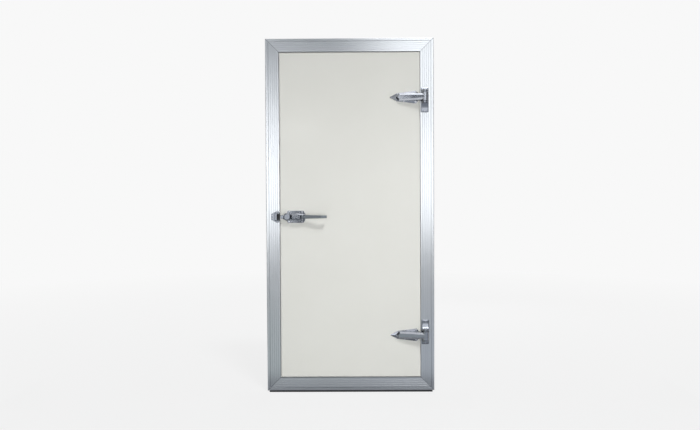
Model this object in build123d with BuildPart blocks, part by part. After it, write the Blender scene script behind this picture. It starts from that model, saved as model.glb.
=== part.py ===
"""Hinged walk-in cooler door: mitred aluminium frame, insulated leaf, cast strap hinges and latch.

Millimetres. X runs along the wall, Y into the cooler and Z up. The origin is at the middle of the
casing's bottom edge, on the plane where the casing lies on the front of the cooler wall.
"""
import os

from build123d import *

os.makedirs("parts", exist_ok=True)

# Frame and wall
frame_width = 1000
frame_height = 2100
wall_thickness = 100

# Front casing: a hollow extrusion, its section measured inwards from the outer edge
casing_face = 80
casing_depth = 30
casing_wall = 3
lip_width = 15
lip_step = 4
lip_radius = 3
groove_width = 5
groove_depth = 6
rib_pitch = 12
rib_groove = 1
rebate_width = 8
rebate_depth = 4

# Liner: PVC extrusions in the wall's cut-out, with the stop that the gasket closes on
liner_wall = 4
stop_depth = 22
stop_width = 25

# Rear casing: a flat strip that clamps the wall from inside
rear_casing_width = 65
rear_casing_wall = 4
rear_casing_bevel = 3

# Rubber strip between the sill and the floor
seal_height = 8
seal_inset = 12
seal_margin = 3

# Leaf
leaf_gap = 8
rim_depth = 40
skin = 1.2
pan_fold = 6
trim_wall = 4
trim_seat = 32
sweep_gap = 2.5
sweep_wall = 4
plug_inset = 27
plug_depth = 60
plug_draft = 10

# Gasket: a bulb on the back of the rim
gasket_inset = 3
gasket_width = 12
gasket_clearance = 0.3
gasket_corner = 2.7

# Hinges
upper_hinge_drop = 352
lower_hinge_height = 335
pin_inset = 25
pin_standoff = 30
pin_radius = 7
pin_head_radius = 10
pin_head_height = 5
bush_wall = 3
bush_proud = 0.8
running_clearance = 0.05
end_clearance = 0.2
eye_radius = 18
eye_height = 48
strap_length = 209
strap_nose = 43
strap_nose_half = 23
strap_half_width = 37.5
strap_shoulder = 52
strap_heel = 38
strap_edge = 3
strap_crown = 5
crown_taper = 70
spine_inset = 31
spine_nose = 23
spine_half_width = 23
spine_end = 6
spine_taper = 8
spine_tip_rise = 14
crest_bevel = 9
neck_clearance = 7
strap_boss_radius = 7
strap_boss_margin = 2.5
casting_bevel = 1.5
bracket_width = 44
bracket_height = 146
bracket_base = 5
bracket_offset = 17
bracket_corner = 6
bracket_bevel = 2.5
lug_height = 13
lug_radius = 15
lug_root = 20
saddle_width = 36
saddle_length = 34
saddle_curve = 0.38

# Latch and keeper
latch_height = 1043
latch_base = 6
case_inset = 30
case_length = 117
case_height = 72
case_shoulder = 12
case_end_height = 30
case_rise = 30
case_draft = 8
case_bevel = 6
body_back_share = 0.8
cheek_wall = 6
slot_length = 32
slot_floor = 5
hub_radius = 10
hub_clearance = 1
pivot_radius = 4
pivot_setback = 18
pivot_rise = 16
pivot_proud = 2
lever_length = 146
lever_height = 21
lever_tip_height = 16
lever_thickness = 10
lever_standoff = 44
lever_curl = 33
lever_curl_depth = 7
lever_groove = 5
lever_groove_depth = 2
nose_length = 59
nose_height = 42
nose_rise = 24
nose_chamfer = 11
nose_bevel = 6
tongue_length = 17
tongue_height = 20
keeper_clearance = 7
keeper_width = 52
keeper_height = 75
keeper_base = 6
keeper_rise = 26
keeper_slot_width = 15
keeper_slot_height = 36
keeper_wall = 6
keeper_back = 14
keeper_draft = 4
keeper_bevel = 3
keeper_end_height = 33
roller_radius = 6

# Inside release
release_inset = 92
rose_width = 72
rose_height = 110
rose_corner = 10
rose_depth = 8
knob_radius = 28
knob_neck_radius = 12
knob_depth = 40
knob_face = 14

# Planes and places shared by the pieces
casing_front = -casing_depth
leaf_front = casing_front
leaf_width = frame_width - 2 * (casing_face + leaf_gap)
leaf_height = frame_height - 2 * (casing_face + leaf_gap)
leaf_bottom = casing_face + leaf_gap
leaf_middle = leaf_bottom + leaf_height / 2
rim_back = leaf_front + rim_depth
plug_back = rim_back + plug_depth
opening_half = frame_width / 2 - casing_face
hinge_x = opening_half + pin_inset
hinge_y = casing_front - pin_standoff
eye_bore = pin_radius + bush_wall
upper_hinge_height = frame_height - upper_hinge_drop


def save(piece, name):
    """Label a finished piece and write it under the same name."""
    piece.part.label = name
    export_step(piece.part, f"parts/{name}.step")


def side_planes(width, height, bottom):
    """Start plane and length of each bar round a rectangle: its X points inwards, its Y into the cooler."""
    left, right, top = -width / 2, width / 2, bottom + height
    return {
        "left": (Plane((left, 0, bottom), x_dir=(1, 0, 0), z_dir=(0, 0, 1)), height),
        "head": (Plane((left, 0, top), x_dir=(0, 0, -1), z_dir=(1, 0, 0)), width),
        "right": (Plane((right, 0, top), x_dir=(-1, 0, 0), z_dir=(0, 0, -1)), height),
        "sill": (Plane((right, 0, bottom), x_dir=(0, 0, 1), z_dir=(-1, 0, 0)), width),
    }


def mitred_bars(prefix, planes, outline, cavity=None):
    """One bar a side from the same section, each cut at 45 degrees where it meets its neighbours."""
    for side, (start, length) in planes.items():
        with BuildPart() as bar:
            with BuildSketch(start):
                with BuildLine():
                    Polyline(*outline, close=True)
                make_face()
                if cavity:
                    with BuildLine():
                        Polyline(*cavity, close=True)
                    make_face(mode=Mode.SUBTRACT)
            extrude(amount=length)
            inwards, run = start.x_dir, start.z_dir
            split(bisect_by=Plane(start.origin, z_dir=run - inwards), keep=Keep.TOP)
            split(bisect_by=Plane(start.origin + run * length, z_dir=-run - inwards), keep=Keep.TOP)
        save(bar, f"{prefix}_{side}")


frame_planes = side_planes(frame_width, frame_height, 0)
leaf_planes = side_planes(leaf_width, leaf_height, leaf_bottom)

# Front casing: outer lip, groove, then the main face with shallow V grooves between its ribs
lip_front = casing_front + lip_step
groove_end = lip_width + groove_width
groove_floor = lip_front + groove_depth
casing_outline = [
    (0, 0),
    (0, lip_front + lip_radius),
    (lip_radius, lip_front),
    (lip_width, lip_front),
    (lip_width, groove_floor),
    (groove_end, groove_floor),
    (groove_end, casing_front),
]
rib_edge = groove_end + rib_pitch
while rib_edge < casing_face - rib_pitch / 2:
    casing_outline += [
        (rib_edge - rib_groove, casing_front),
        (rib_edge, casing_front + rib_groove),
        (rib_edge + rib_groove, casing_front),
    ]
    rib_edge += rib_pitch
casing_outline += [
    (casing_face, casing_front),
    (casing_face, -rebate_depth),
    (casing_face - rebate_width, -rebate_depth),
    (casing_face - rebate_width, 0),
]
casing_cavity = [
    (casing_wall, -casing_wall),
    (casing_wall, lip_front + casing_wall),
    (lip_width - casing_wall, lip_front + casing_wall),
    (lip_width - casing_wall, groove_floor + casing_wall),
    (groove_end + casing_wall, groove_floor + casing_wall),
    (groove_end + casing_wall, casing_front + casing_wall),
    (casing_face - casing_wall, casing_front + casing_wall),
    (casing_face - casing_wall, -rebate_depth - casing_wall),
    (casing_face - rebate_width - casing_wall, -rebate_depth - casing_wall),
    (casing_face - rebate_width - casing_wall, -casing_wall),
]
mitred_bars("casing", frame_planes, casing_outline, casing_cavity)

# Liner edge: a thin strip in the casing's rebate that lines the wall up to the stop
liner_back = casing_face - liner_wall
liner_edge_outline = [
    (liner_back, -rebate_depth),
    (casing_face, -rebate_depth),
    (casing_face, stop_depth),
    (liner_back, stop_depth),
]
mitred_bars("liner_edge", frame_planes, liner_edge_outline)

# Liner: a hollow extrusion with the stop that the gasket closes on and the reveal through the wall
reveal = casing_face + stop_width
liner_outline = [
    (liner_back, stop_depth),
    (reveal, stop_depth),
    (reveal, wall_thickness),
    (liner_back, wall_thickness),
]
liner_cavity = [
    (liner_back + liner_wall, stop_depth + liner_wall),
    (reveal - liner_wall, stop_depth + liner_wall),
    (reveal - liner_wall, wall_thickness - liner_wall),
    (liner_back + liner_wall, wall_thickness - liner_wall),
]
mitred_bars("liner", frame_planes, liner_outline, liner_cavity)

# Rear casing: a flat strip with bevelled edges that covers the joint of liner and wall inside
rear_outer = reveal - rear_casing_width
rear_face = wall_thickness + rear_casing_wall
rear_outline = [
    (rear_outer, wall_thickness),
    (rear_outer + rear_casing_bevel, rear_face),
    (reveal - rear_casing_bevel, rear_face),
    (reveal, wall_thickness),
]
mitred_bars("rear_casing", frame_planes, rear_outline)

# Floor seal: a rubber strip under the sill, set in from the ends and from both faces
with BuildPart() as floor_seal:
    with BuildSketch(Plane.XY.offset(-seal_height)):
        with Locations((0, casing_front / 2)):
            Rectangle(frame_width - 2 * seal_inset, casing_depth - 2 * seal_margin)
    extrude(amount=seal_height)
save(floor_seal, "floor_seal")

# Leaf skins: a folded pan in front and a drafted pan over the plug behind
front_plane = Plane((0, leaf_front, leaf_middle), x_dir=(1, 0, 0), z_dir=(0, 1, 0))
with BuildPart() as leaf_front_skin:
    with BuildSketch(front_plane):
        Rectangle(leaf_width, leaf_height)
    extrude(amount=pan_fold)
    with BuildSketch(front_plane.offset(skin)):
        Rectangle(leaf_width - 2 * skin, leaf_height - 2 * skin)
    extrude(amount=pan_fold - skin, mode=Mode.SUBTRACT)
save(leaf_front_skin, "leaf_front_skin")

plug_width = leaf_width - 2 * plug_inset
plug_height = leaf_height - 2 * plug_inset
rim_plane = front_plane.offset(rim_depth)
with BuildPart() as leaf_back_skin:
    for wall in (0, skin):
        with BuildSketch(rim_plane):
            Rectangle(plug_width - 2 * wall, plug_height - 2 * wall)
        with BuildSketch(rim_plane.offset(plug_depth - wall)):
            Rectangle(plug_width - 2 * (plug_draft + wall), plug_height - 2 * (plug_draft + wall))
        loft(mode=Mode.SUBTRACT if wall else Mode.ADD)
save(leaf_back_skin, "leaf_back_skin")

# Foam core: fills the front pan, the space inside the trims, the neck between them and the plug
with BuildPart() as leaf_core:
    for start, end, inset in (
        (skin, pan_fold, skin),
        (pan_fold, rim_depth - trim_wall, trim_wall),
        (rim_depth - trim_wall, rim_depth, trim_seat),
    ):
        with BuildSketch(front_plane.offset(start)):
            Rectangle(leaf_width - 2 * inset, leaf_height - 2 * inset)
        extrude(amount=end - start)
    with BuildSketch(rim_plane):
        Rectangle(plug_width - 2 * skin, plug_height - 2 * skin)
    with BuildSketch(rim_plane.offset(plug_depth - skin)):
        Rectangle(plug_width - 2 * (plug_draft + skin), plug_height - 2 * (plug_draft + skin))
    loft()
save(leaf_core, "leaf_core")

# Leaf edge trims: an angle round the rim behind the front pan's fold, with a sweep that masks the gap
sweep_reach = leaf_gap - sweep_gap
fold_back = leaf_front + pan_fold
trim_width = leaf_width + 2 * sweep_reach
trim_height = leaf_height + 2 * sweep_reach
trim_planes = side_planes(trim_width, trim_height, leaf_bottom - sweep_reach)
trim_outline = [
    (0, fold_back),
    (sweep_reach + trim_wall, fold_back),
    (sweep_reach + trim_wall, rim_back - trim_wall),
    (sweep_reach + trim_seat, rim_back - trim_wall),
    (sweep_reach + trim_seat, rim_back),
    (sweep_reach, rim_back),
    (sweep_reach, fold_back + sweep_wall),
    (0, fold_back + sweep_wall),
]
mitred_bars("leaf_trim", trim_planes, trim_outline)

# Gaskets: a soft bulb on the back of the rim that closes on the liner's stop
gasket_tip = stop_depth - gasket_clearance
gasket_end = gasket_inset + gasket_width
gasket_outline = [
    (gasket_inset, rim_back),
    (gasket_end, rim_back),
    (gasket_end, gasket_tip - gasket_corner),
    (gasket_end - gasket_corner, gasket_tip),
    (gasket_inset + gasket_corner, gasket_tip),
    (gasket_inset, gasket_tip - gasket_corner),
]
mitred_bars("gasket", leaf_planes, gasket_outline)


def face_plane(x, z, rise=0):
    """Plane on the door's front face, or in front of it by the rise, with Z outwards and X along the wall."""
    return Plane((x, casing_front - rise, z), x_dir=(1, 0, 0), z_dir=(0, -1, 0))


def hinge_strap(name, height):
    """Cast strap: a crowned spear-shaped base, and a crested spine that runs on as a neck to the eye."""
    tip = hinge_x - strap_length
    nose = tip + strap_nose
    shoulder = hinge_x - strap_shoulder
    heel = hinge_x - strap_heel
    spine_tip = tip + spine_inset
    eye_rise = casing_front - hinge_y + eye_radius
    neck_rise = bracket_base + neck_clearance
    # The spine is drafted on all sides, and its bevelled crest climbs from its tip to the front of the eye
    with BuildPart() as spine:
        with BuildSketch(face_plane(0, height, strap_edge)):
            with BuildLine():
                Polyline(
                    (spine_tip, 0),
                    (spine_tip + spine_nose, spine_half_width),
                    (hinge_x + spine_end, spine_half_width),
                    (hinge_x + spine_end, -spine_half_width),
                    (spine_tip + spine_nose, -spine_half_width),
                    close=True,
                )
            make_face()
        extrude(amount=eye_rise - strap_edge, taper=spine_taper)
        crest = Vector(hinge_x - spine_tip, spine_tip_rise - eye_rise, 0)
        crest_start = (spine_tip, casing_front - spine_tip_rise, height)
        split(bisect_by=Plane(crest_start, x_dir=crest, z_dir=Vector(0, 0, 1).cross(crest)), keep=Keep.TOP)
        chamfer(spine.faces().sort_by(Axis.Y)[0].edges().sort_by(Axis.X)[:-1], crest_bevel)
        # Past the heel the neck stands clear of the jamb and the bracket's plate
        with BuildSketch(face_plane(heel + strap_length / 2, height)):
            Rectangle(strap_length, 2 * strap_half_width)
        extrude(amount=neck_rise, mode=Mode.SUBTRACT)
    with BuildPart() as strap:
        with BuildSketch(face_plane(0, height)):
            with BuildLine():
                Polyline(
                    (tip, 0),
                    (nose, strap_nose_half),
                    (shoulder, strap_half_width),
                    (heel, spine_half_width),
                    (heel, -spine_half_width),
                    (shoulder, -strap_half_width),
                    (nose, -strap_nose_half),
                    close=True,
                )
            make_face()
        extrude(amount=strap_edge)
        extrude(strap.faces().sort_by(Axis.Y)[0], amount=strap_crown, taper=crown_taper)
        add(spine)
        with BuildSketch(Plane.XY.offset(height - eye_height / 2)):
            with Locations((hinge_x, hinge_y)):
                Circle(eye_radius)
        extrude(amount=eye_height)
        # Screw bosses on the base: a pair at the shoulder and a pair behind the nose, beside the spine
        rear_boss = shoulder - strap_boss_margin
        front_boss = nose + strap_nose
        boss_share = strap_nose / (shoulder - nose)
        flank = strap_nose_half + boss_share * (strap_half_width - strap_nose_half)
        with BuildSketch(face_plane(0, height, strap_edge)):
            for place, edge in ((rear_boss, strap_half_width - strap_boss_margin), (front_boss, flank)):
                boss_z = edge - strap_boss_radius
                with Locations((place, boss_z), (place, -boss_z)):
                    Circle(strap_boss_radius)
        extrude(amount=strap_crown)
        with BuildSketch(Plane.XY.offset(height - eye_height / 2)):
            with Locations((hinge_x, hinge_y)):
                Circle(eye_bore)
        extrude(amount=eye_height, mode=Mode.SUBTRACT)
    save(strap, f"{name}_hinge_strap")


def hinge_bush(name, height):
    """Nylon bush in the strap's eye, proud below it, where the leaf's weight rides on the lower lug."""
    bush_bottom = height - eye_height / 2 - bush_proud
    with BuildPart() as bush:
        with BuildSketch(Plane.XY.offset(bush_bottom)):
            with Locations((hinge_x, hinge_y)):
                Circle(eye_bore)
                Circle(pin_radius + running_clearance, mode=Mode.SUBTRACT)
        extrude(amount=eye_height + bush_proud)
    save(bush, f"{name}_hinge_bush")


def hinge_bracket(name, height, towards_middle):
    """Cast bracket on the jamb: a plate, a lug above and below the eye, and a saddle on its long side."""
    plate_z = height + towards_middle * bracket_offset
    plate_front = casing_front - bracket_base
    lug_start = eye_height / 2 + bush_proud + end_clearance
    with BuildPart() as bracket:
        with BuildSketch(face_plane(hinge_x, plate_z)):
            RectangleRounded(bracket_width, bracket_height, bracket_corner)
        extrude(amount=bracket_base)
        plate_face = bracket.faces().sort_by(Axis.Y)[0]
        chamfer(plate_face.edges(), 2 * bracket_bevel, bracket_bevel, reference=plate_face)
        for lug_bottom in (height + lug_start, height - lug_start - lug_height):
            with BuildSketch(Plane.XY.offset(lug_bottom)):
                with Locations((hinge_x, hinge_y)):
                    Circle(lug_radius)
                with BuildLine():
                    Polyline(
                        (hinge_x - lug_radius, hinge_y),
                        (hinge_x - lug_root, plate_front),
                        (hinge_x + lug_root, plate_front),
                        (hinge_x + lug_radius, hinge_y),
                        close=True,
                    )
                make_face()
            extrude(amount=lug_height)
        # The saddle sweeps down from the lug to the plate in a hollow curve, clear of the pin's head
        saddle_top = height + towards_middle * (lug_start + lug_height)
        saddle_end = saddle_top + towards_middle * saddle_length
        saddle_front = hinge_y + pin_head_radius + hub_clearance
        saddle_hollow = (
            plate_front - saddle_curve * (plate_front - saddle_front),
            saddle_top + saddle_curve * (saddle_end - saddle_top),
        )
        saddle_plane = Plane((hinge_x - saddle_width / 2, 0, 0), x_dir=(0, 1, 0), z_dir=(1, 0, 0))
        with BuildSketch(saddle_plane):
            with BuildLine():
                Polyline((plate_front, saddle_end), (plate_front, saddle_top), (saddle_front, saddle_top))
                ThreePointArc((saddle_front, saddle_top), saddle_hollow, (plate_front, saddle_end))
            make_face()
        extrude(amount=saddle_width)
        with BuildSketch(Plane.XY.offset(height - lug_start - lug_height)):
            with Locations((hinge_x, hinge_y)):
                Circle(pin_radius + running_clearance)
        extrude(amount=2 * (lug_start + lug_height), mode=Mode.SUBTRACT)
    save(bracket, f"{name}_hinge_bracket")


def hinge_pin(name, height):
    """Steel pin through both lugs and the bush, its head on the upper lug."""
    reach = eye_height / 2 + bush_proud + end_clearance + lug_height
    with BuildPart() as pin:
        with BuildSketch(Plane.XY.offset(height - reach)):
            with Locations((hinge_x, hinge_y)):
                Circle(pin_radius)
        extrude(amount=2 * reach)
        with BuildSketch(Plane.XY.offset(height + reach)):
            with Locations((hinge_x, hinge_y)):
                Circle(pin_head_radius)
        extrude(amount=pin_head_height)
    save(pin, f"{name}_hinge_pin")


for hinge_name, hinge_height, middle_side in (
    ("upper", upper_hinge_height, -1),
    ("lower", lower_hinge_height, 1),
):
    hinge_bracket(hinge_name, hinge_height, middle_side)
    hinge_pin(hinge_name, hinge_height)
    hinge_bush(hinge_name, hinge_height)
    hinge_strap(hinge_name, hinge_height)

# Latch case: a long octagonal base, a drafted body, and a slot at its right end for the handle
case_left = case_inset - leaf_width / 2
case_right = case_left + case_length
case_middle = (case_left + case_right) / 2
pivot_x = case_right - pivot_setback
pivot_y = casing_front - latch_base - pivot_rise
body_left = case_left + nose_length / 2
body_length = case_right - body_left
body_middle = (body_left + case_right) / 2
body_height = case_height - 2 * case_shoulder
body_end_half = lever_height / 2 + hub_clearance + cheek_wall
with BuildPart() as latch_case:
    with BuildSketch(face_plane(case_middle, latch_height)):
        with BuildLine():
            Polyline(
                (-case_length / 2, -case_end_height / 2),
                (-case_length / 2 + case_shoulder, -case_height / 2),
                (case_length / 2 - case_shoulder, -case_height / 2),
                (case_length / 2, -case_end_height / 2),
                (case_length / 2, case_end_height / 2),
                (case_length / 2 - case_shoulder, case_height / 2),
                (-case_length / 2 + case_shoulder, case_height / 2),
                (-case_length / 2, case_end_height / 2),
                close=True,
            )
        make_face()
    extrude(amount=latch_base)
    chamfer(latch_case.faces().sort_by(Axis.Y)[0].edges(), casting_bevel)
    # The body is six-sided, broadest at its middle, and drafted towards its crown
    with BuildSketch(face_plane(body_middle, latch_height, latch_base)):
        with BuildLine():
            Polyline(
                (-body_length / 2, -body_back_share * body_height / 2),
                (0, -body_height / 2),
                (body_length / 2, -body_end_half),
                (body_length / 2, body_end_half),
                (0, body_height / 2),
                (-body_length / 2, body_back_share * body_height / 2),
                close=True,
            )
        make_face()
    extrude(amount=case_rise, taper=case_draft)
    chamfer(latch_case.faces().sort_by(Axis.Y)[0].edges(), case_bevel)
    with BuildSketch(face_plane(case_right, latch_height, latch_base + slot_floor)):
        Rectangle(2 * slot_length, lever_height + 2 * hub_clearance)
    extrude(amount=case_rise, mode=Mode.SUBTRACT)
    with BuildSketch(Plane.XY.offset(latch_height - case_height / 2)):
        with Locations((pivot_x, pivot_y)):
            Circle(pivot_radius + running_clearance)
    extrude(amount=case_height, mode=Mode.SUBTRACT)
save(latch_case, "latch_case")

# Latch pivot: a pin across the slot
pivot_reach = body_end_half + pivot_proud
with BuildPart() as latch_pivot:
    with BuildSketch(Plane.XY.offset(latch_height - pivot_reach)):
        with Locations((pivot_x, pivot_y)):
            Circle(pivot_radius)
    extrude(amount=2 * pivot_reach)
save(latch_pivot, "latch_pivot")

# Latch handle: a hub on the pivot, a bar that leans away from the leaf and narrows, and a curled tip
lever_tip = pivot_x + lever_length
lever_bend = lever_tip - lever_curl
lever_back = casing_front - lever_standoff + lever_thickness / 2
lever_front = lever_back - lever_thickness
bar_start = case_right + hub_radius
bar_direction = Vector(lever_bend - pivot_x, lever_front - (pivot_y - lever_thickness / 2), 0)
with BuildPart() as latch_handle:
    with BuildSketch(Plane.XY.offset(latch_height - lever_height / 2)):
        with Locations((pivot_x, pivot_y)):
            Circle(hub_radius)
        with BuildLine():
            Polyline(
                (pivot_x, pivot_y + lever_thickness / 2),
                (lever_bend, lever_back),
                (lever_tip, lever_back + lever_curl_depth),
                (lever_tip, lever_front + lever_curl_depth),
                (lever_bend, lever_front),
                (pivot_x, pivot_y - lever_thickness / 2),
                close=True,
            )
        make_face()
    extrude(amount=lever_height)
    for face_side in (-1, 1):
        with BuildSketch(face_plane(0, latch_height)):
            with BuildLine():
                Polyline(
                    (bar_start, face_side * lever_height / 2),
                    (lever_tip, face_side * lever_tip_height / 2),
                    (lever_tip, face_side * lever_height),
                    (bar_start, face_side * lever_height),
                    close=True,
                )
            make_face()
        extrude(amount=2 * lever_standoff, mode=Mode.SUBTRACT)
    with BuildSketch(Plane.XY.offset(latch_height - lever_height / 2)):
        with Locations((pivot_x, pivot_y)):
            Circle(pivot_radius + running_clearance)
    extrude(amount=lever_height, mode=Mode.SUBTRACT)
    bar_edges = latch_handle.edges().filter_by(GeomType.LINE).filter_by(lambda edge: edge.length > lever_curl)
    chamfer(bar_edges.filter_by(lambda edge: edge.center().X > bar_start), casting_bevel)
    # A shallow groove runs along the front of the bar
    groove_length = lever_bend - bar_start
    groove_middle = (lever_bend + bar_start) / 2
    groove_share = (groove_middle - pivot_x) / bar_direction.X
    groove_y = pivot_y - lever_thickness / 2 + groove_share * bar_direction.Y
    outwards = bar_direction.cross(Vector(0, 0, 1))
    bar_face = Plane((groove_middle, groove_y, latch_height), x_dir=bar_direction, z_dir=outwards)
    with BuildSketch(bar_face.offset(-lever_groove_depth)):
        SlotOverall(groove_length, lever_groove)
    extrude(amount=2 * lever_groove_depth, mode=Mode.SUBTRACT)
save(latch_handle, "latch_handle")

# Latch nose: an octagonal block on the case's base, with a tongue that reaches towards the keeper
nose_left = body_left - nose_length
block_left = nose_left + tongue_length
with BuildPart() as latch_nose:
    with BuildSketch(face_plane((block_left + body_left) / 2, latch_height, latch_base)):
        nose_block = Rectangle(nose_length - tongue_length, nose_height)
        chamfer(nose_block.vertices(), nose_chamfer)
    extrude(amount=nose_rise)
    chamfer(latch_nose.faces().sort_by(Axis.Y)[0].edges(), nose_bevel)
    with BuildSketch(face_plane((nose_left + block_left) / 2, latch_height, latch_base + nose_bevel)):
        Rectangle(tongue_length, tongue_height)
    extrude(amount=nose_rise - 2 * nose_bevel)
save(latch_nose, "latch_nose")

# Keeper: a six-sided base on the jamb and a raised mouth that opens towards the latch
keeper_right = nose_left - keeper_clearance
keeper_middle = keeper_right - keeper_width / 2
keeper_half = keeper_width / 2
mouth_half = keeper_slot_height / 2 + keeper_wall
mouth_length = keeper_slot_width + keeper_back
with BuildPart() as keeper:
    with BuildSketch(face_plane(keeper_middle, latch_height)):
        with BuildLine():
            Polyline(
                (keeper_half / 2, keeper_height / 2),
                (keeper_half, mouth_half),
                (keeper_half, -mouth_half),
                (keeper_half / 2, -keeper_height / 2),
                (-keeper_half, -keeper_end_height / 2),
                (-keeper_half, keeper_end_height / 2),
                close=True,
            )
        make_face()
    extrude(amount=keeper_base)
    chamfer(keeper.faces().sort_by(Axis.Y)[0].edges(), casting_bevel)
    with BuildSketch(face_plane(keeper_right - mouth_length / 2, latch_height, keeper_base)):
        Rectangle(mouth_length, 2 * mouth_half)
    extrude(amount=keeper_rise, taper=keeper_draft)
    chamfer(keeper.faces().sort_by(Axis.Y)[0].edges(), keeper_bevel)
    with BuildSketch(face_plane(keeper_right, latch_height, keeper_base)):
        Rectangle(2 * keeper_slot_width, keeper_slot_height)
    extrude(amount=keeper_rise, mode=Mode.SUBTRACT)
save(keeper, "keeper")

# Keeper roller: stands in the mouth between its top and bottom
roller_x = keeper_right - keeper_slot_width + roller_radius + hub_clearance
roller_y = casing_front - keeper_base - keeper_rise / 2
with BuildPart() as keeper_roller:
    with BuildSketch(Plane.XY.offset(latch_height - keeper_slot_height / 2)):
        with Locations((roller_x, roller_y)):
            Circle(roller_radius)
    extrude(amount=keeper_slot_height)
save(keeper_roller, "keeper_roller")

# Inside release: a rose on the back skin and a push knob on it
release_x = release_inset - leaf_width / 2
release_plane = Plane((release_x, plug_back, latch_height), x_dir=(1, 0, 0), z_dir=(0, 1, 0))
with BuildPart() as release_rose:
    with BuildSketch(release_plane):
        RectangleRounded(rose_width, rose_height, rose_corner)
    extrude(amount=rose_depth)
    chamfer(release_rose.edges().group_by(Axis.Y)[-1], rose_depth / 2)
save(release_rose, "release_rose")

# The knob's half section: a neck and a flat push face
knob_start = plug_back + rose_depth
knob_end = knob_start + knob_depth
with BuildPart() as release_knob:
    with BuildSketch(Plane.XY.offset(latch_height)):
        with BuildLine():
            Polyline(
                (release_x, knob_end),
                (release_x, knob_start),
                (release_x + knob_neck_radius, knob_start),
                (release_x + knob_neck_radius, knob_end - knob_face),
                (release_x + knob_radius, knob_end - knob_face),
                (release_x + knob_radius, knob_end),
                close=True,
            )
        make_face()
    revolve(axis=Axis((release_x, 0, latch_height), (0, 1, 0)))
save(release_knob, "release_knob")
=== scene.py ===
import math

import bmesh
import bpy
from mathutils import Matrix, Vector
from mathutils.geometry import tessellate_polygon


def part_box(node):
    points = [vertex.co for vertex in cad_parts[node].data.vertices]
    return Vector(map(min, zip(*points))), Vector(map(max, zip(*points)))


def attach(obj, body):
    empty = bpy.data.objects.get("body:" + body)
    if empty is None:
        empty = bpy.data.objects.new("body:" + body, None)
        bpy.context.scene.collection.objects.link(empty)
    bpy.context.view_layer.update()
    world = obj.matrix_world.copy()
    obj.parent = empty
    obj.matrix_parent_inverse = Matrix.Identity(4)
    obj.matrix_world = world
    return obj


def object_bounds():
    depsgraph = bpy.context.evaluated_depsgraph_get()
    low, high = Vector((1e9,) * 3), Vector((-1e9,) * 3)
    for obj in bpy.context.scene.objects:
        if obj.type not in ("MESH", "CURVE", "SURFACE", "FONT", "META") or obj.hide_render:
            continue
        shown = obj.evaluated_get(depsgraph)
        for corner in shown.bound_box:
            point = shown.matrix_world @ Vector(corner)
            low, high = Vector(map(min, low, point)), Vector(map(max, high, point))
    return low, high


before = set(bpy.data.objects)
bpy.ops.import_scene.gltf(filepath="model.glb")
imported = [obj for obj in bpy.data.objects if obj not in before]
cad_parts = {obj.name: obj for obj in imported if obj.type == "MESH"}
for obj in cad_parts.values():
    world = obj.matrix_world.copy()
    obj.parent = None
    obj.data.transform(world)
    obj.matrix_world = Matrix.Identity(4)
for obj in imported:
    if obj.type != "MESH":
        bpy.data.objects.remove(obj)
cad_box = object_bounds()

# Front casing: four hollow aluminium extrusions, mitred at the corners and screwed to the cooler wall.
# The face has a stepped outer lip, a groove and shallow ribs, all drawn along the bar by the die.
MM = 0.001
joint_width = 3.5 * MM
rib_pitch, groove_half = 12 * MM, 2.2 * MM
lip_groove, lip_groove_half = 18 * MM, 4 * MM


def colour(code):
    """Linear RGBA of an sRGB hex value."""
    channels = [int(code[i:i + 2], 16) / 255 for i in (1, 3, 5)]
    return [c / 12.92 if c <= 0.04045 else ((c + 0.055) / 1.055) ** 2.4 for c in channels] + [1]


def add(tree, kind, inputs, **settings):
    """One node with its settings: an input that is another node's output is linked, and a value is set."""
    new = tree.nodes.new(kind)
    for name, value in settings.items():
        setattr(new, name, value)
    for socket, value in inputs.items():
        if isinstance(value, bpy.types.NodeSocket):
            tree.links.new(value, new.inputs[socket])
        else:
            new.inputs[socket].default_value = value
    return new


def bare_material(name):
    """A new material and its empty node tree."""
    material = bpy.data.materials.new(name)
    material.use_nodes = True
    material.node_tree.nodes.clear()
    return material, material.node_tree


def dress(material, *names):
    """Put a material on CAD nodes and let their round faces shade smoothly."""
    crease = math.radians(30)
    for name in names:
        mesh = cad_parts[name].data
        mesh.materials.clear()
        mesh.materials.append(material)
        mesh.polygons.foreach_set("use_smooth", [True] * len(mesh.polygons))
        mesh.set_sharp_from_angle(angle=crease)


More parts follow.
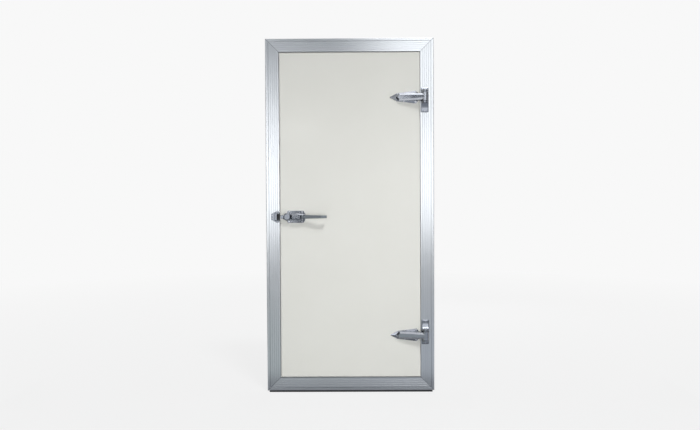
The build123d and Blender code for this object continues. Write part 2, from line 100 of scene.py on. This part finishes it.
def anodised_aluminium(name, along, across, rib_shade=0):
    """Satin anodised extrusion: a soft grey metal whose die lines run along the bar.

    The die lines are under a millimetre wide on the real bar and are drawn as bands of a few millimetres.
    The grooves between the ribs, the groove behind the lip and the hairline where two cut ends meet
    are darkened with painted shade, drawn a little wider than they are so that they show from across a room.
    """
    material, tree = bare_material(name)
    place = add(tree, "ShaderNodeTexCoord", {}).outputs["Object"]
    line_width, streak_width, run_length = 3 * MM, 14 * MM, 900 * MM
    fine_scale = [1 / run_length if axis == along else 1 / line_width for axis in "XYZ"]
    broad_scale = [1 / run_length if axis == along else 1 / streak_width for axis in "XYZ"]
    fine = add(tree, "ShaderNodeMapping", {"Vector": place, "Scale": fine_scale})
    broad = add(tree, "ShaderNodeMapping", {"Vector": place, "Scale": broad_scale})
    lines = add(tree, "ShaderNodeTexNoise", {"Vector": fine.outputs[0], "Scale": 1, "Detail": 3})
    streaks = add(tree, "ShaderNodeTexNoise", {"Vector": broad.outputs[0], "Scale": 1, "Detail": 2})
    tint = add(tree, "ShaderNodeMix", {
        "Factor": streaks.outputs["Fac"], "A": colour("#b8bbbe"), "B": colour("#c0c3c6")}, data_type="RGBA")
    finish = tint.outputs["Result"]
    # Painted shade: the grooves, the groove behind the lip and the mitre hairlines are darkened, for the
    # shade in them.
    if rib_shade:
        joint_shadow_strength, lip_shade_strength = 0.75, 0.3 + rib_shade
        frame_side, frame_top = cad_box[1][0], cad_box[1][2]
        maths = "ShaderNodeMath"
        # A point lies on a joint where it is as far from the frame's side as from its top or bottom
        parts = add(tree, "ShaderNodeSeparateXYZ", {0: place})
        up = parts.outputs["Z"]
        off_middle = add(tree, maths, {0: parts.outputs["X"]}, operation="ABSOLUTE").outputs[0]
        from_side = add(tree, maths, {0: frame_side, 1: off_middle}, operation="SUBTRACT").outputs[0]
        from_top = add(tree, maths, {0: frame_top, 1: up}, operation="SUBTRACT").outputs[0]
        from_end = add(tree, maths, {0: from_top, 1: up}, operation="MINIMUM").outputs[0]
        past_joint = add(tree, maths, {0: from_side, 1: from_end}, operation="SUBTRACT").outputs[0]
        off_joint = add(tree, maths, {0: past_joint}, operation="ABSOLUTE").outputs[0]
        joint = add(tree, "ShaderNodeMapRange", {
            "Value": off_joint, "From Max": joint_width, "To Min": joint_shadow_strength, "To Max": 0}).outputs[0]
        # The fine grooves repeat inwards at the ribs' pitch, from the deep one between the lip and the face
        from_edge = add(tree, maths, {0: from_side, 1: from_end}, operation="MINIMUM").outputs[0]
        past_lip = add(tree, maths, {0: from_edge, 1: lip_groove}, operation="SUBTRACT").outputs[0]
        off_rib = add(tree, maths, {0: past_lip, 1: rib_pitch / 2}, operation="PINGPONG").outputs[0]
        rib = add(tree, "ShaderNodeMapRange", {
            "Value": off_rib, "From Max": groove_half, "To Min": rib_shade, "To Max": 0}).outputs[0]
        off_lip = add(tree, maths, {0: past_lip}, operation="ABSOLUTE").outputs[0]
        lip = add(tree, "ShaderNodeMapRange", {
            "Value": off_lip, "From Max": lip_groove_half, "To Min": lip_shade_strength, "To Max": 0}).outputs[0]
        grooves = add(tree, maths, {0: rib, 1: lip}, operation="MAXIMUM").outputs[0]
        marks = add(tree, maths, {0: joint, 1: grooves}, operation="MAXIMUM").outputs[0]
        # Painted shade and painted shadow are mixed into the colour here as a dark grey.
        shaded_finish = add(tree, "ShaderNodeMix", {
            "Factor": marks, "A": finish, "B": colour("#54575c")}, data_type="RGBA")
        finish = shaded_finish.outputs["Result"]
    gloss = add(tree, "ShaderNodeMapRange", {
        "Value": lines.outputs["Fac"], "To Min": 0.27, "To Max": 0.35})
    relief = add(tree, "ShaderNodeBump", {
        "Height": lines.outputs["Fac"], "Strength": 0.05, "Distance": 0.3 * MM})
    grain = add(tree, "ShaderNodeCombineXYZ", {across: 1})
    shader = add(tree, "ShaderNodeBsdfPrincipled", {
        "Base Color": finish, "Roughness": gloss.outputs[0], "Normal": relief.outputs[0],
        "Tangent": grain.outputs[0], "Metallic": 1, "Anisotropic": 0.4})
    add(tree, "ShaderNodeOutputMaterial", {"Surface": shader.outputs[0]})
    return material


upright_aluminium = anodised_aluminium("anodised_aluminium_upright", "Z", "X", rib_shade=0.03)
level_aluminium = anodised_aluminium("anodised_aluminium_level", "X", "Z", rib_shade=0.15)
dress(upright_aluminium, "casing_left", "casing_right")
dress(level_aluminium, "casing_head", "casing_sill")

# Liner: PVC extrusions in the wall's cut-out, cut at 45 degrees and glued behind the casing.
# The thin edge lines the wall beside the leaf, and the hollow stop is what the gasket closes on.


def extruded_pvc(name, shade, tone):
    """Extruded PVC: an even plastic with a dull sheen and a faint cloudiness.

    Its grain is drawn coarser than the real one, so that it breaks up the sheen.
    """
    material, tree = bare_material(name)
    place = add(tree, "ShaderNodeTexCoord", {}).outputs["Object"]
    cloud_size, grain_size = 120 * MM, 2.5 * MM
    clouds = add(tree, "ShaderNodeTexNoise", {"Vector": place, "Scale": 1 / cloud_size, "Detail": 4})
    grain = add(tree, "ShaderNodeTexNoise", {"Vector": place, "Scale": 1 / grain_size, "Detail": 2})
    tint = add(tree, "ShaderNodeMix", {
        "Factor": clouds.outputs["Fac"], "A": colour(shade), "B": colour(tone)}, data_type="RGBA")
    gloss = add(tree, "ShaderNodeMapRange", {
        "Value": grain.outputs["Fac"], "To Min": 0.42, "To Max": 0.55})
    relief = add(tree, "ShaderNodeBump", {
        "Height": grain.outputs["Fac"], "Strength": 0.05, "Distance": 0.2 * MM})
    shader = add(tree, "ShaderNodeBsdfPrincipled", {
        "Base Color": tint.outputs["Result"], "Roughness": gloss.outputs[0],
        "Normal": relief.outputs[0], "IOR": 1.53})
    add(tree, "ShaderNodeOutputMaterial", {"Surface": shader.outputs[0]})
    return material


SIDES = ("left", "head", "right", "sill")
white_pvc = extruded_pvc("extruded_white_pvc", "#e1e0db", "#e8e7e3")
dress(white_pvc, *[f"liner_{side}" for side in SIDES], *[f"liner_edge_{side}" for side in SIDES])

# Rear casing: flat aluminium strips with bevelled edges that cover the joint of liner and wall inside.
# They are screwed through into the wall panel.
plain_upright = anodised_aluminium("plain_aluminium_upright", "Z", "X")
plain_level = anodised_aluminium("plain_aluminium_level", "X", "Z")
dress(plain_upright, "rear_casing_left", "rear_casing_right")
dress(plain_level, "rear_casing_head", "rear_casing_sill")


def ground_steel(name):
    """Ground steel: a darker grey metal with fine turning marks round it, drawn wider than they are."""
    material, tree = bare_material(name)
    place = add(tree, "ShaderNodeTexCoord", {}).outputs["Object"]
    ring_height, ring_reach = 0.8 * MM, 50 * MM
    ring_scale = (1 / ring_reach, 1 / ring_reach, 1 / ring_height)
    rings = add(tree, "ShaderNodeMapping", {"Vector": place, "Scale": ring_scale})
    turned = add(tree, "ShaderNodeTexNoise", {"Vector": rings.outputs[0], "Scale": 1, "Detail": 2})
    tint = add(tree, "ShaderNodeMix", {
        "Factor": turned.outputs["Fac"], "A": colour("#9b9da1"), "B": colour("#b9bbbf")}, data_type="RGBA")
    gloss = add(tree, "ShaderNodeMapRange", {
        "Value": turned.outputs["Fac"], "To Min": 0.22, "To Max": 0.36})
    shader = add(tree, "ShaderNodeBsdfPrincipled", {
        "Base Color": tint.outputs["Result"], "Roughness": gloss.outputs[0], "Metallic": 1})
    add(tree, "ShaderNodeOutputMaterial", {"Surface": shader.outputs[0]})
    return material


pin_steel = ground_steel("ground_steel")
FRONT, BACK = -1, 1


def driven_screws(name, body, facing, places):
    """Pan-head screws in one mesh: each head is turned round its axis and has a sunk cross for the driver.

    A place is the middle of a head's seat and the head's radius. Sizes in here are shares of that radius.
    """
    profile = [(1.0, 0.0), (1.0, 0.22), (0.90, 0.42), (0.72, 0.52)]
    crown = profile[-1][1]
    arm, slot_half, sink, taper = 0.56, 0.15, 0.30, 0.8
    segments, turn_step, crease = 32, 0.65, math.radians(35)
    angles = [step * math.tau / segments for step in range(segments)]
    quarter = [Vector((arm, -slot_half)), Vector((arm, slot_half)), Vector((slot_half, slot_half))]
    spins = [Matrix.Rotation(math.radians(90 * turn), 2) for turn in range(4)]
    cross = [spin @ corner for spin in spins for corner in quarter]
    outlines = [[Vector((width * math.cos(angle), width * math.sin(angle), rise)) for angle in angles]
                for width, rise in profile]
    outlines.append([Vector((*corner, crown)) for corner in cross])
    outlines.append([Vector((*(corner * taper), crown - sink)) for corner in cross])
    shape = bmesh.new()
    for index, (x, y, z, radius) in enumerate(places):
        stand = Matrix.Translation((x, y, z)) @ Matrix.Rotation(math.radians(-90 * facing), 4, "X")
        stand = stand @ Matrix.Rotation(index * turn_step, 4, "Z") @ Matrix.Scale(radius, 4)
        loops = [[shape.verts.new(stand @ point) for point in outline] for outline in outlines]
        *rings, mouth, pit = loops
        for low, high in (*zip(rings, rings[1:]), (mouth, pit)):
            for step in range(len(low)):
                after = (step + 1) % len(low)
                shape.faces.new((low[step], low[after], high[after], high[step]))
        shape.faces.new(pit)
        corners = rings[-1] + mouth
        for triangle in tessellate_polygon(outlines[-3:-1]):
            shape.faces.new([corners[i] for i in triangle])
    bmesh.ops.recalc_face_normals(shape, faces=shape.faces[:])
    mesh = bpy.data.meshes.new(name)
    shape.to_mesh(mesh)
    shape.free()
    mesh.polygons.foreach_set("use_smooth", [True] * len(mesh.polygons))
    mesh.set_sharp_from_angle(angle=crease)
    mesh.materials.append(pin_steel)
    screws = bpy.data.objects.new(name, mesh)
    bpy.context.scene.collection.objects.link(screws)
    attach(screws, body)


wall_screw, row_count, column_count = 4.5 * MM, 6, 3
low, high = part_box("rear_casing_left")
strip_middle, strip_half = (low.x + high.x) / 2, (high.x - low.x) / 2
lowest, highest = low.z + strip_half, high.z - strip_half
rows = [lowest + (highest - lowest) * (step + 0.5) / row_count for step in range(row_count)]
columns = [strip_middle * (1 - (2 * step + 1) / column_count) for step in range(column_count)]
rear_places = [(side * strip_middle, high.y, row, wall_screw) for side in (1, -1) for row in rows]
rear_places += [(column, high.y, level, wall_screw) for column in columns for level in (lowest, highest)]
driven_screws("rear_casing_screws", "frame", BACK, rear_places)

# Floor seal: a strip of black EPDM rubber under the sill.
# It is bedded between the sill and the floor and squeezed by the frame's weight.


def moulded_rubber(name):
    """EPDM rubber: a dull black, paler where dust sits, with its fine grain drawn coarser than it is."""
    material, tree = bare_material(name)
    place = add(tree, "ShaderNodeTexCoord", {}).outputs["Object"]
    grain_size, dust_size = 1.2 * MM, 40 * MM
    grain = add(tree, "ShaderNodeTexNoise", {"Vector": place, "Scale": 1 / grain_size, "Detail": 3})
    dust = add(tree, "ShaderNodeTexNoise", {"Vector": place, "Scale": 1 / dust_size, "Detail": 5})
    tint = add(tree, "ShaderNodeMix", {
        "Factor": dust.outputs["Fac"], "A": colour("#0f1013"), "B": colour("#1c1d21")}, data_type="RGBA")
    relief = add(tree, "ShaderNodeBump", {
        "Height": grain.outputs["Fac"], "Strength": 0.15, "Distance": 0.2 * MM})
    shader = add(tree, "ShaderNodeBsdfPrincipled", {
        "Base Color": tint.outputs["Result"], "Normal": relief.outputs[0], "Roughness": 0.68, "IOR": 1.52})
    add(tree, "ShaderNodeOutputMaterial", {"Surface": shader.outputs[0]})
    return material


dress(moulded_rubber("moulded_black_rubber"), "floor_seal")

# Hinge brackets: zinc castings with a dull plating, screwed to the right jamb above and below the strap.
# Their darker grey is partly that plating and partly painted shade.
# A ground steel pin stands in the two lugs of each.


def plated_casting(name, shade, tone, smoothest, roughest):
    """Plate over a die casting: a metal mirror, bright or dull, that follows the casting's unevenness.

    The casting's pits are drawn larger than they are, so that they soften the mirror.
    """
    material, tree = bare_material(name)
    place = add(tree, "ShaderNodeTexCoord", {}).outputs["Object"]
    swell_size, pit_size, smear_size, edge_radius = 14 * MM, 1.6 * MM, 30 * MM, 1 * MM
    swell = add(tree, "ShaderNodeTexNoise", {"Vector": place, "Scale": 1 / swell_size, "Detail": 2})
    pits = add(tree, "ShaderNodeTexNoise", {"Vector": place, "Scale": 1 / pit_size, "Detail": 3})
    smears = add(tree, "ShaderNodeTexNoise", {"Vector": place, "Scale": 1 / smear_size, "Detail": 4})
    tint = add(tree, "ShaderNodeMix", {
        "Factor": smears.outputs["Fac"], "A": colour(shade), "B": colour(tone)}, data_type="RGBA")
    gloss = add(tree, "ShaderNodeMapRange", {
        "Value": smears.outputs["Fac"], "To Min": smoothest, "To Max": roughest})
    edge = add(tree, "ShaderNodeBevel", {"Radius": edge_radius}, samples=6)
    waves = add(tree, "ShaderNodeBump", {
        "Height": swell.outputs["Fac"], "Normal": edge.outputs[0], "Strength": 0.018, "Distance": 1.2 * MM})
    relief = add(tree, "ShaderNodeBump", {
        "Height": pits.outputs["Fac"], "Normal": waves.outputs[0], "Strength": 0.04, "Distance": 0.15 * MM})
    shader = add(tree, "ShaderNodeBsdfPrincipled", {
        "Base Color": tint.outputs["Result"], "Roughness": gloss.outputs[0],
        "Normal": relief.outputs[0], "Metallic": 1})
    add(tree, "ShaderNodeOutputMaterial", {"Surface": shader.outputs[0]})
    return material


HINGES = ("upper", "lower")
grey_casting = plated_casting("grey_zinc_casting", "#71757c", "#868a91", smoothest=0.24, roughest=0.36)
# The brackets' darker grey is partly their duller plating and partly painted shade.
dress(grey_casting, *[f"{hinge}_hinge_bracket" for hinge in HINGES])
dress(pin_steel, *[f"{hinge}_hinge_pin" for hinge in HINGES])
plate_thickness, plate_inset, bracket_screw = 5 * MM, 9 * MM, 4.5 * MM
bracket_places = []
for hinge, ends in (("upper", (-1, 1)), ("lower", (1, -1))):
    low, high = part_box(f"{hinge}_hinge_bracket")
    plate_middle, plate_face = (low.x + high.x) / 2, high.y - plate_thickness
    bracket_height, hole_reach = (low.z + high.z) / 2, (high.z - low.z) / 2 - plate_inset
    bracket_places += [(plate_middle, plate_face, bracket_height + end * hole_reach, bracket_screw)
                       for end in ends]
driven_screws("bracket_screws", "frame", FRONT, bracket_places)

# Keeper: a zinc casting like the brackets, screwed to the left jamb, whose mouth takes the latch.
# A black nylon roller stands in the mouth.
dress(grey_casting, "keeper")
keeper_base, keeper_screw = 6 * MM, 3.6 * MM
keeper_holes = [(12 * MM, 30 * MM), (12 * MM, -30 * MM), (-19 * MM, 9 * MM), (-19 * MM, -9 * MM)]
low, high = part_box("keeper")
keeper_middle, keeper_height = (low.x + high.x) / 2, (low.z + high.z) / 2
driven_screws("keeper_screws", "frame", FRONT, [
    (keeper_middle + across, high.y - keeper_base, keeper_height + up, keeper_screw)
    for across, up in keeper_holes])


def moulded_nylon(name):
    """Moulded nylon: near black, with a slight sheen and a spark-eroded grain, drawn coarser than it is."""
    material, tree = bare_material(name)
    place = add(tree, "ShaderNodeTexCoord", {}).outputs["Object"]
    grain_size = 0.9 * MM
    grain = add(tree, "ShaderNodeTexNoise", {"Vector": place, "Scale": 1 / grain_size, "Detail": 2})
    tint = add(tree, "ShaderNodeMix", {
        "Factor": grain.outputs["Fac"], "A": colour("#09090b"), "B": colour("#131416")}, data_type="RGBA")
    relief = add(tree, "ShaderNodeBump", {
        "Height": grain.outputs["Fac"], "Strength": 0.12, "Distance": 0.12 * MM})
    shader = add(tree, "ShaderNodeBsdfPrincipled", {
        "Base Color": tint.outputs["Result"], "Normal": relief.outputs[0], "Roughness": 0.5, "IOR": 1.53})
    add(tree, "ShaderNodeOutputMaterial", {"Surface": shader.outputs[0]})
    return material


black_nylon = moulded_nylon("moulded_black_nylon")
dress(black_nylon, "keeper_roller", *[f"{hinge}_hinge_bush" for hinge in HINGES])

# Leaf: two painted steel pans, folded at the edges, with foam poured between them and a PVC rim.
# The cream paint is a baked satin polyester, and the pans are very slightly wavy.
# A soft grey gasket is pushed on the back of the rim.


def baked_paint(name):
    """Baked satin polyester on sheet steel: cream white, with faint orange peel and a slow waviness."""
    material, tree = bare_material(name)
    place = add(tree, "ShaderNodeTexCoord", {}).outputs["Object"]
    peel_size, wave_size, cloud_size = 3 * MM, 420 * MM, 260 * MM
    peel = add(tree, "ShaderNodeTexNoise", {"Vector": place, "Scale": 1 / peel_size, "Detail": 2})
    wave = add(tree, "ShaderNodeTexNoise", {"Vector": place, "Scale": 1 / wave_size, "Detail": 1})
    clouds = add(tree, "ShaderNodeTexNoise", {"Vector": place, "Scale": 1 / cloud_size, "Detail": 4})
    tint = add(tree, "ShaderNodeMix", {
        "Factor": clouds.outputs["Fac"], "A": colour("#dfdfd8"), "B": colour("#e4e4de")}, data_type="RGBA")
    gloss = add(tree, "ShaderNodeMapRange", {
        "Value": peel.outputs["Fac"], "To Min": 0.34, "To Max": 0.44})
    swell = add(tree, "ShaderNodeBump", {
        "Height": wave.outputs["Fac"], "Strength": 0.25, "Distance": 1.5 * MM})
    relief = add(tree, "ShaderNodeBump", {
        "Height": peel.outputs["Fac"], "Normal": swell.outputs[0], "Strength": 0.05, "Distance": 0.1 * MM})
    shader = add(tree, "ShaderNodeBsdfPrincipled", {
        "Base Color": tint.outputs["Result"], "Roughness": gloss.outputs[0],
        "Normal": relief.outputs[0], "IOR": 1.5})
    add(tree, "ShaderNodeOutputMaterial", {"Surface": shader.outputs[0]})
    return material


dress(baked_paint("baked_cream_paint"), "leaf_front_skin", "leaf_back_skin")
dress(white_pvc, *[f"leaf_trim_{side}" for side in SIDES])
grey_pvc = extruded_pvc("extruded_grey_pvc", "#a2a4a4", "#adafae")
dress(grey_pvc, *[f"gasket_{side}" for side in SIDES])


def poured_foam(name):
    """Polyurethane foam: a dull straw yellow full of fine cells, drawn larger than they are."""
    material, tree = bare_material(name)
    place = add(tree, "ShaderNodeTexCoord", {}).outputs["Object"]
    cell_size = 1.5 * MM
    cells = add(tree, "ShaderNodeTexVoronoi", {"Vector": place, "Scale": 1 / cell_size})
    tint = add(tree, "ShaderNodeMix", {
        "Factor": cells.outputs["Distance"], "A": colour("#cbb57e"), "B": colour("#e2d2a4")},
        data_type="RGBA")
    relief = add(tree, "ShaderNodeBump", {
        "Height": cells.outputs["Distance"], "Strength": 0.4, "Distance": 0.3 * MM})
    shader = add(tree, "ShaderNodeBsdfPrincipled", {
        "Base Color": tint.outputs["Result"], "Normal": relief.outputs[0], "Roughness": 0.85})
    add(tree, "ShaderNodeOutputMaterial", {"Surface": shader.outputs[0]})
    return material


dress(poured_foam("poured_foam"), "leaf_core")

# Hinge straps: chromed castings, screwed to the leaf through bosses beside their crested spines.
# The pair of screws nearer the hinge pin is larger than the pair nearer the tip.
chrome_casting = plated_casting("bright_chrome_casting", "#868990", "#9da0a6", smoothest=0.08, roughest=0.20)
dress(chrome_casting, *[f"{hinge}_hinge_strap" for hinge in HINGES])
boss_height = 8 * MM
strap_holes = [(154.5 * MM, 28.8 * MM, 5.0 * MM), (86 * MM, 25.4 * MM, 3.0 * MM)]
strap_places = []
for hinge in HINGES:
    low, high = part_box(f"{hinge}_hinge_strap")
    strap_height = (low.z + high.z) / 2
    for from_tip, up, strap_screw in strap_holes:
        strap_places += [(low.x + from_tip, high.y - boss_height, strap_height + side * up, strap_screw)
                         for side in (1, -1)]
driven_screws("strap_screws", "leaf", FRONT, strap_places)

# Latch: a chromed case and a grey nose on the leaf, and a cast handle on a steel pivot in the case.
# The case is screwed on at the four corners of its flange.
# Painted shade: the handle's casting is a darker copy of the plated casting, standing in for the dark
# reflections on the handle.
shaded_handle_casting = plated_casting("shaded_zinc_casting", "#585d61", "#6b7074", smoothest=0.28, roughest=0.40)
dress(chrome_casting, "latch_case")
dress(grey_casting, "latch_nose")
dress(shaded_handle_casting, "latch_handle")
dress(pin_steel, "latch_pivot")
flange_thickness, flange_across, flange_up, latch_screw = 6 * MM, 38 * MM, 28.5 * MM, 4 * MM
low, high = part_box("latch_case")
case_middle, latch_height = (low.x + high.x) / 2, (low.z + high.z) / 2
flange_face = high.y - flange_thickness
driven_screws("latch_screws", "leaf", FRONT, [
    (case_middle + side * flange_across, flange_face, latch_height + end * flange_up, latch_screw)
    for side in (1, -1) for end in (1, -1)])

# Inside release: a chromed rose and a black nylon push knob on the back skin.
# Two screws hold the rose, above and below the knob.
dress(chrome_casting, "release_rose")
dress(black_nylon, "release_knob")
rose_reach, rose_screw = 42 * MM, 4.5 * MM
low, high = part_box("release_rose")
rose_middle, rose_height = (low.x + high.x) / 2, (low.z + high.z) / 2
driven_screws("release_screws", "leaf", BACK, [
    (rose_middle, high.y, rose_height + end * rose_reach, rose_screw) for end in (1, -1)])

# Studio: a pale floor fading into a white surround, soft boxes before and behind the door, and a sun.
# A dim wall, a ceiling, side flags, floor mats and shades show only in the metal, where they give the
# bright and dark bands that a mirror needs.
floor_level, floor_half = cad_box[0][2], 30.0
floor_mesh = bpy.data.meshes.new("studio_floor")
floor_signs = ((-1, -1), (1, -1), (1, 1), (-1, 1))
floor_mesh.from_pydata([(x * floor_half, y * floor_half, 0) for x, y in floor_signs], [], [(0, 1, 2, 3)])
floor = bpy.data.objects.new("studio_floor", floor_mesh)
floor.location.z = floor_level
bpy.context.scene.collection.objects.link(floor)


def seen_rays(tree):
    """1 for rays from the camera and for those off metal or through glass, else 0."""
    path = add(tree, "ShaderNodeLightPath", {})
    direct = add(tree, "ShaderNodeMath", {
        0: path.outputs["Is Camera Ray"], 1: path.outputs["Is Glossy Ray"]}, operation="MAXIMUM")
    seen = add(tree, "ShaderNodeMath", {
        0: direct.outputs[0], 1: path.outputs["Is Transmission Ray"]}, operation="MAXIMUM")
    return seen.outputs[0]


STUDIO_WHITE = "#f8f8f8"
floor_material, tree = bare_material("pale_floor")
shader = add(tree, "ShaderNodeBsdfPrincipled", {"Base Color": colour("#cfd0d1"), "Roughness": 0.6})
place = add(tree, "ShaderNodeTexCoord", {}).outputs["Object"]
reach = add(tree, "ShaderNodeVectorMath", {0: place}, operation="LENGTH")
fade = add(tree, "ShaderNodeMapRange", {
    "Value": reach.outputs["Value"], "From Min": 0.8, "From Max": 7.0, "To Min": 0.85, "To Max": 1.0})
white = add(tree, "ShaderNodeEmission", {"Color": colour(STUDIO_WHITE), "Strength": 1})
share = add(tree, "ShaderNodeMath", {0: fade.outputs[0], 1: seen_rays(tree)}, operation="MULTIPLY")
blend = add(tree, "ShaderNodeMixShader", {0: share.outputs[0], 1: shader.outputs[0], 2: white.outputs[0]})
add(tree, "ShaderNodeOutputMaterial", {"Surface": blend.outputs[0]})
floor_mesh.materials.append(floor_material)

world = bpy.data.worlds.new("studio_surround")
bpy.context.scene.world = world
world.use_nodes = True
tree = world.node_tree
tree.nodes.clear()
light = add(tree, "ShaderNodeMapRange", {"Value": seen_rays(tree), "To Min": 0.22, "To Max": 1.0})
surround = add(tree, "ShaderNodeBackground", {"Color": colour(STUDIO_WHITE), "Strength": light.outputs[0]})
add(tree, "ShaderNodeOutputWorld", {"Surface": surround.outputs[0]})


def soft_box(name, place, target, width, height, power, mirrored):
    """A rectangular soft box: either it shows in the metal, or it lights the painted and plastic faces."""
    lamp = bpy.data.lights.new(name, "AREA")
    lamp.shape = "RECTANGLE"
    lamp.size = width
    lamp.size_y = height
    lamp.energy = power
    box = bpy.data.objects.new(name, lamp)
    box.location = place
    box.rotation_euler = (Vector(target) - Vector(place)).to_track_quat("-Z", "Z").to_euler()
    box.visible_camera = False
    box.visible_glossy = mirrored
    box.visible_diffuse = not mirrored
    bpy.context.scene.collection.objects.link(box)


# Each mirrored box has its left, right, bottom and top edge in one plane, and its brightness
box_y = -3.6
for name, left, right, bottom, top, radiance in (
        ("right_high_box", 0.25, 1.90, 2.31, 3.40, 2.8),
        ("right_low_box", 0.25, 1.90, 0.70, 2.05, 3.1),
        ("left_top_box", -1.60, -0.80, 2.36, 2.62, 2.6),
        ("left_high_box", -1.60, -0.80, 1.65, 2.24, 3.6),
        ("left_low_box", -1.60, -0.80, 0.71, 1.65, 5.2),
        ("left_wide_box", -3.60, -1.80, 1.00, 3.20, 1.6),
        ("hinge_box", 0.70, 1.90, 2.20, 2.31, 3.7),
        ("strap_box", -0.50, 0.10, 2.12, 2.36, 1.15)):
    across, up = (left + right) / 2, (bottom + top) / 2
    width, height = right - left, top - bottom
    power = radiance * math.pi * width * height
    soft_box(name, (across, box_y, up), (across, 0, up), width, height, power, mirrored=True)
soft_box("front_box", place=(0.25, -2.1, 0.92), target=(0.1, 0, 1.0), width=1.3, height=1.3,
         power=14.6, mirrored=False)
soft_box("rear_box", place=(0.8, 3.2, 2.2), target=(0, 0, 1.0), width=2.5, height=2.5,
         power=44, mirrored=False)
sun = bpy.data.lights.new("high_light", "SUN")
sun.energy = 1.5
sun.angle = math.radians(10)
sun_direction = Vector((-0.25, 0.53, -0.81))
high_light = bpy.data.objects.new("high_light", sun)
high_light.rotation_euler = sun_direction.to_track_quat("-Z", "Y").to_euler()
bpy.context.scene.collection.objects.link(high_light)


def glossy_card(name, corners, tone, strength=1):
    """A plain card that shows only in reflections."""
    mesh = bpy.data.meshes.new(name)
    mesh.from_pydata(corners, [], [range(len(corners))])
    card = bpy.data.objects.new(name, mesh)
    bpy.context.scene.collection.objects.link(card)
    material, tree = bare_material(name)
    glow = add(tree, "ShaderNodeEmission", {"Color": colour(tone), "Strength": strength})
    add(tree, "ShaderNodeOutputMaterial", {"Surface": glow.outputs[0]})
    mesh.materials.append(material)
    card.visible_camera = False
    card.visible_diffuse = False
    card.visible_shadow = False


wall_y, wall_half, wall_top = -6.5, 7.0, 8.0
glossy_card("dim_wall", [(-wall_half, wall_y, floor_level), (wall_half, wall_y, floor_level),
                         (wall_half, wall_y, wall_top), (-wall_half, wall_y, wall_top)], "#7a8088")
flag_x, flag_front, flag_back, flag_top = 2.0, -0.7, 0.3, 2.3
for name, x in (("left_flag", -flag_x), ("right_flag", flag_x)):
    glossy_card(name, [(x, flag_front, floor_level), (x, flag_back, floor_level),
                       (x, flag_back, flag_top), (x, flag_front, flag_top)], "#4a4d53")

# Each level card has its left, right, front and back edge, its height, its tone and its brightness
mat_level, mat_edge = floor_level + 2 * MM, -0.36
shade_front, shade_back = -0.40, -0.035
for name, left, right, front, back, level, tone, strength in (
        ("bright_ceiling", 0.05, 1.20, -1.4, 0.3, 3.3, STUDIO_WHITE, 3.5),
        ("dark_mat", -0.70, 0.70, mat_edge, -0.04, mat_level, "#9fa3a9", 1),
        ("left_mat", -2.50, 0.00, -3.2, mat_edge, mat_level, "#d8e0e1", 1),
        ("right_mat", 0.00, 2.50, -3.2, mat_edge, mat_level, "#d6dce5", 1),
        ("hinge_shade", 0.12, 0.41, shade_front, shade_back, 1.25, STUDIO_WHITE, 1.7),
        ("latch_shade", -0.41, -0.20, shade_front, shade_back, 1.60, STUDIO_WHITE, 2.3)):
    glossy_card(name, [(left, front, level), (right, front, level),
                       (right, back, level), (left, back, level)], tone, strength)

# Camera: stands four metres in front of the door, a little above its middle, and looks slightly down.
# It is turned and rolled by a fraction of a degree, and the lens gives the frame the photograph's width.
IMAGE_WIDTH, FRAME_PIXELS = 700, 168
frame_width = cad_box[1][0] - cad_box[0][0]
view_distance = 4.0
view_width = frame_width * IMAGE_WIDTH / FRAME_PIXELS
aim_height, hardware_depth = 1.052, 50 * MM
pitch, roll, yaw = math.radians(1.3), math.radians(0.3), math.radians(0.5)
camera_data = bpy.data.cameras.new("camera")
camera_data.sensor_width = 36
camera_data.lens = camera_data.sensor_width * view_distance / view_width
camera = bpy.data.objects.new("camera", camera_data)
casing_front = cad_box[0][1] + hardware_depth
camera.location = (view_distance * math.sin(yaw), casing_front - view_distance * math.cos(yaw),
                   aim_height + view_distance * math.tan(pitch))
camera.rotation_euler = (math.radians(90) - pitch, roll, yaw)
bpy.context.scene.collection.objects.link(camera)
bpy.context.scene.camera = camera
bpy.context.scene.view_settings.view_transform = "Standard"
